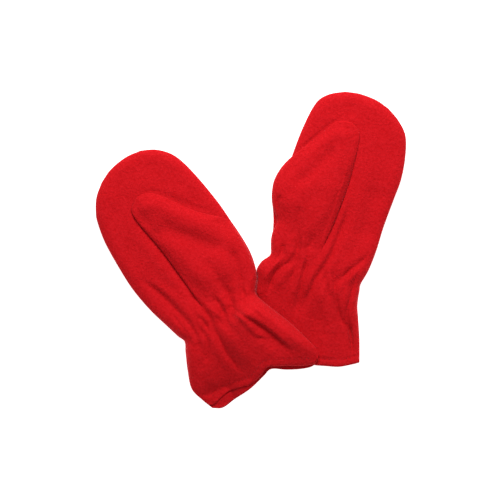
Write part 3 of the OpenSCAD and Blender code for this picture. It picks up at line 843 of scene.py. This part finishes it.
# --- stitching and elastic -------------------------------------------------------------------
def tube(path, radius, verts, faces, sides=6, taper=False):
    """Adds a round thread along a path, in metres, to lists of places and faces"""
    thin_end = 0.55
    n, first = len(path), len(verts)
    for i, at in enumerate(path):
        t = path[min(n - 1, i + 1)] - path[max(0, i - 1)]
        t = t / np.linalg.norm(t)
        side_way = np.cross(t, (0, 0, 1) if abs(t[2]) < 0.9 else (1, 0, 0))
        side_way = side_way / np.linalg.norm(side_way)
        up = np.cross(side_way, t)
        r = radius * (thin_end if taper and i in (0, n - 1) else 1.0)
        for k in range(sides):
            a = 2 * math.pi * k / sides
            verts.append(at + r * (math.cos(a) * side_way + math.sin(a) * up))
    for i in range(n - 1):
        for k in range(sides):
            a, b = first + i * sides + k, first + i * sides + (k + 1) % sides
            faces.append((a, b, b + sides, a + sides))
    faces.append(tuple(first + k for k in range(sides))[::-1])
    faces.append(tuple(first + (n - 1) * sides + k for k in range(sides)))


def threads(name, paths, radius, material, taper=False):
    """One piece made of round threads along paths; the radius is in mm"""
    verts, faces = [], []
    for path in paths:
        tube(path, radius * MM, verts, faces, taper=taper)
    return mesh_object(name, np.array(verts), faces, material)


def zigzag(line, inner_line, pitch):
    """Every other place on one line and on another beside it, as overlock stitching goes"""
    run = np.linalg.norm(np.diff(line, axis=0), axis=1).sum()
    count = int(run / pitch)
    at = np.linspace(0, 1, count) * (len(line) - 1)

    def place(way):
        return np.stack([np.interp(at, np.arange(len(way)), way[:, k]) for k in (0, 1)], -1)

    a, b = place(line), place(inner_line)
    return np.where((np.arange(count) % 2 == 0)[:, None], a, b)


def shrunk(line, centre_of, by):
    """A line moved inwards by a few mm, at right angles to itself"""
    t = np.gradient(line, axis=0)
    t = t / np.linalg.norm(t, axis=1)[:, None]
    n = np.stack([t[:, 1], -t[:, 0]], -1)
    third = len(line) // 3
    if (line[third] - centre_of) @ n[third] > 0:
        n = -n
    return line + by * n


def side_seam(side, material):
    """The overlock stitching inside the side seam, round the pouch and down the cuff"""
    outer, inner = 3.4, 5.2         # how far in from the seam its two sides are
    edge = outline(side)[6:-6]
    middle = np.array([0.0, 60.0])
    way = zigzag(shrunk(edge, middle, outer), shrunk(edge, middle, inner), OVERLOCK_PITCH)
    z = MID + climb(side, way)
    made = threads(f"{side}_side_overlock", [world(side, way, z)], 0.33, material)
    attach(made, f"{side}_mitten")
    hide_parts(f"{side}_side_seam")


def thumb_seam(side, material):
    """The overlock stitching inside the thumb stall's seam"""
    outer, inner = 3.2, 4.8         # how far in from the seam its two sides are
    edge = stall_lines(side)
    middle = np.array(PAIR[side]["fold"], float).mean(0) + [-14.0, 24.0]
    edge = edge[past_fold(side, edge) < -4]
    way = zigzag(shrunk(edge, middle, outer), shrunk(edge, middle, inner), OVERLOCK_PITCH)
    hollow, ceiling = thumb_layers(side, way)[1:3]
    z = (hollow + ceiling) / 2
    made = threads(f"{side}_thumb_overlock", [world(side, way, z)], 0.3, material)
    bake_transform(made)
    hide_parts(f"{side}_thumb_seam")


def stitches(line, height, length, gap):
    """Short separate stitches along a line; height says how high each place is"""
    arch, sunk, clear = 0.28, 0.12, 2.0
    run = np.concatenate([[0], np.cumsum(np.linalg.norm(np.diff(line, axis=0), axis=1))])
    share = np.linspace(0, 1, 5)
    made = []
    start = clear
    while start + length < run[-1] - clear:
        at = start + length * share
        way = np.stack([np.interp(at, run, line[:, k]) for k in (0, 1)], -1)
        made.append((way, height(way) + arch * np.sin(np.pi * share) - sunk))
        start += length + gap
    return made


def hem_stitches(side, material):
    """The top stitching that holds the turned hem of both panels"""
    paths = []
    for which, faces_of in (("palm", palm_faces), ("back", back_faces)):
        line = curve(PAIR[side][which + "_hem"], 240)[14:-14]
        line = shrunk(line, np.array([0.0, 0.0]), STITCH_LINE)

        def height(way):
            return faces_of(side, way)[1]

        paths += [world(side, way, z) for way, z in stitches(line, height, length=2.4, gap=1.1)]
    made = threads(f"{side}_hem_stitches", paths, 0.27, material, taper=True)
    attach(made, f"{side}_mitten")
    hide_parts(f"{side}_hem_stitch")


def elastic_parts(side, band_material, thread):
    """The gathered elastic inside the wrist, and the zigzag that holds it"""
    cols, rows = 110, 7
    rib, pace = 0.12, 2.6           # the height and the pace of its ribs
    u = np.linspace(-37, 36, cols)
    v = np.linspace(-3.6, 3.6, rows)
    p = np.stack(np.meshgrid(u, v), -1)
    ribs = rib * np.sin(u * pace)[None, :] * np.ones((rows, 1))
    palm_in = palm_faces(side, p)[0] - ELASTIC_GAP + ribs
    back_in = back_faces(side, p)[1] + ELASTIC_GAP + ribs
    verts, faces = [], []
    for low, high in ((palm_in - ELASTIC_T, palm_in), (back_in, back_in + ELASTIC_T)):
        piece = sheet_mesh("part", side, p, low, high, band_material)
        first = len(verts)
        verts += [tuple(q.co) for q in piece.data.vertices]
        faces += [[first + k for k in f.vertices] for f in piece.data.polygons]
        old = piece.data
        bpy.data.objects.remove(piece)
        bpy.data.meshes.remove(old)
    band = mesh_object(f"{side}_elastic_band", np.array(verts), faces, band_material)
    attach(band, f"{side}_mitten")
    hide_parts(f"{side}_wrist_elastic")
    way = np.stack([np.linspace(-35, 34, 50), np.where(np.arange(50) % 2, 1.6, -1.6)], -1)
    clear = ELASTIC_T + 0.2
    paths = [world(side, way, palm_faces(side, way)[0] - ELASTIC_GAP - clear),
             world(side, way, back_faces(side, way)[1] + ELASTIC_GAP + clear)]
    made = threads(f"{side}_elastic_zigzag", paths, 0.22, thread)
    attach(made, f"{side}_mitten")
    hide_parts(f"{side}_elastic_stitch")


# --- the pair --------------------------------------------------------------------------------
join_edges()
fleece = fleece_material()
thread = thread_material()
band = elastic_material()
for side in ("left", "right"):
    panel_mesh(side, "palm", fleece)
    panel_mesh(side, "back", fleece)
    thumb_meshes(side, fleece)
    side_seam(side, thread)
    thumb_seam(side, thread)
    hem_stitches(side, thread)
    elastic_parts(side, band, thread)


# --- floor, light and camera -----------------------------------------------------------------
def floor():
    """A pale floor just under the mittens"""
    made, shader = new_material("pale_floor")[::2]
    shader.inputs["Base Color"].default_value = (0.93, 0.93, 0.93, 1)
    shader.inputs["Roughness"].default_value = 0.9
    shader.inputs["Emission Color"].default_value = (1, 1, 1, 1)
    shader.inputs["Emission Strength"].default_value = 0.85
    size, below = 6.0, -0.0002
    corners = ((-1, -1), (1, -1), (1, 1), (-1, 1))
    verts = np.array([(x * size, y * size, below) for x, y in corners])
    plane = mesh_object("floor", verts, [(0, 1, 2, 3)], made)


floor()
centre = (cad_low + cad_high) / 2
VIEW = (centre.x - 0.45 * MM, centre.y + 0.75 * MM)   # the middle of the picture
FIELD = 0.500        # how much the picture covers, at the height of the seams
HEIGHT = 1.6         # how far above the seams the camera is
SENSOR = 36
camera_data = bpy.data.cameras.new("camera")
camera_data.sensor_width = SENSOR
camera_data.lens = SENSOR * HEIGHT / FIELD
camera = bpy.data.objects.new("camera", camera_data)
bpy.context.scene.collection.objects.link(camera)
camera.location = (VIEW[0], VIEW[1], HEIGHT + MID * MM)
bpy.context.scene.camera = camera


def area_light(name, azimuth, elevation, away, size, power):
    """A soft round light; azimuth 0 is on the fingertips' side, +Y, and 90 is at +X"""
    data = bpy.data.lights.new(name, "AREA")
    data.shape = "DISK"
    data.size = size
    data.energy = power
    lamp = bpy.data.objects.new(name, data)
    a, e = math.radians(azimuth), math.radians(elevation)
    to = np.array([math.sin(a) * math.cos(e), math.cos(a) * math.cos(e), math.sin(e)])
    lamp.location = tuple(np.array([centre.x, centre.y, 0]) + away * to)
    bpy.context.scene.collection.objects.link(lamp)
    direction = centre - lamp.location
    lamp.rotation_mode = "QUATERNION"
    lamp.rotation_quaternion = direction.to_track_quat("-Z", "Y")


area_light("key", azimuth=2, elevation=45, away=1.4, size=0.7, power=21)
area_light("fill", azimuth=110, elevation=70, away=2.4, size=1.8, power=2)
world_data = bpy.data.worlds.new("studio")
bpy.context.scene.world = world_data
world_data.use_nodes = True
world_data.node_tree.nodes["Background"].inputs["Color"].default_value = (1, 1, 1, 1)
world_data.node_tree.nodes["Background"].inputs["Strength"].default_value = 0.38
bpy.context.scene.view_settings.view_transform = "Standard"
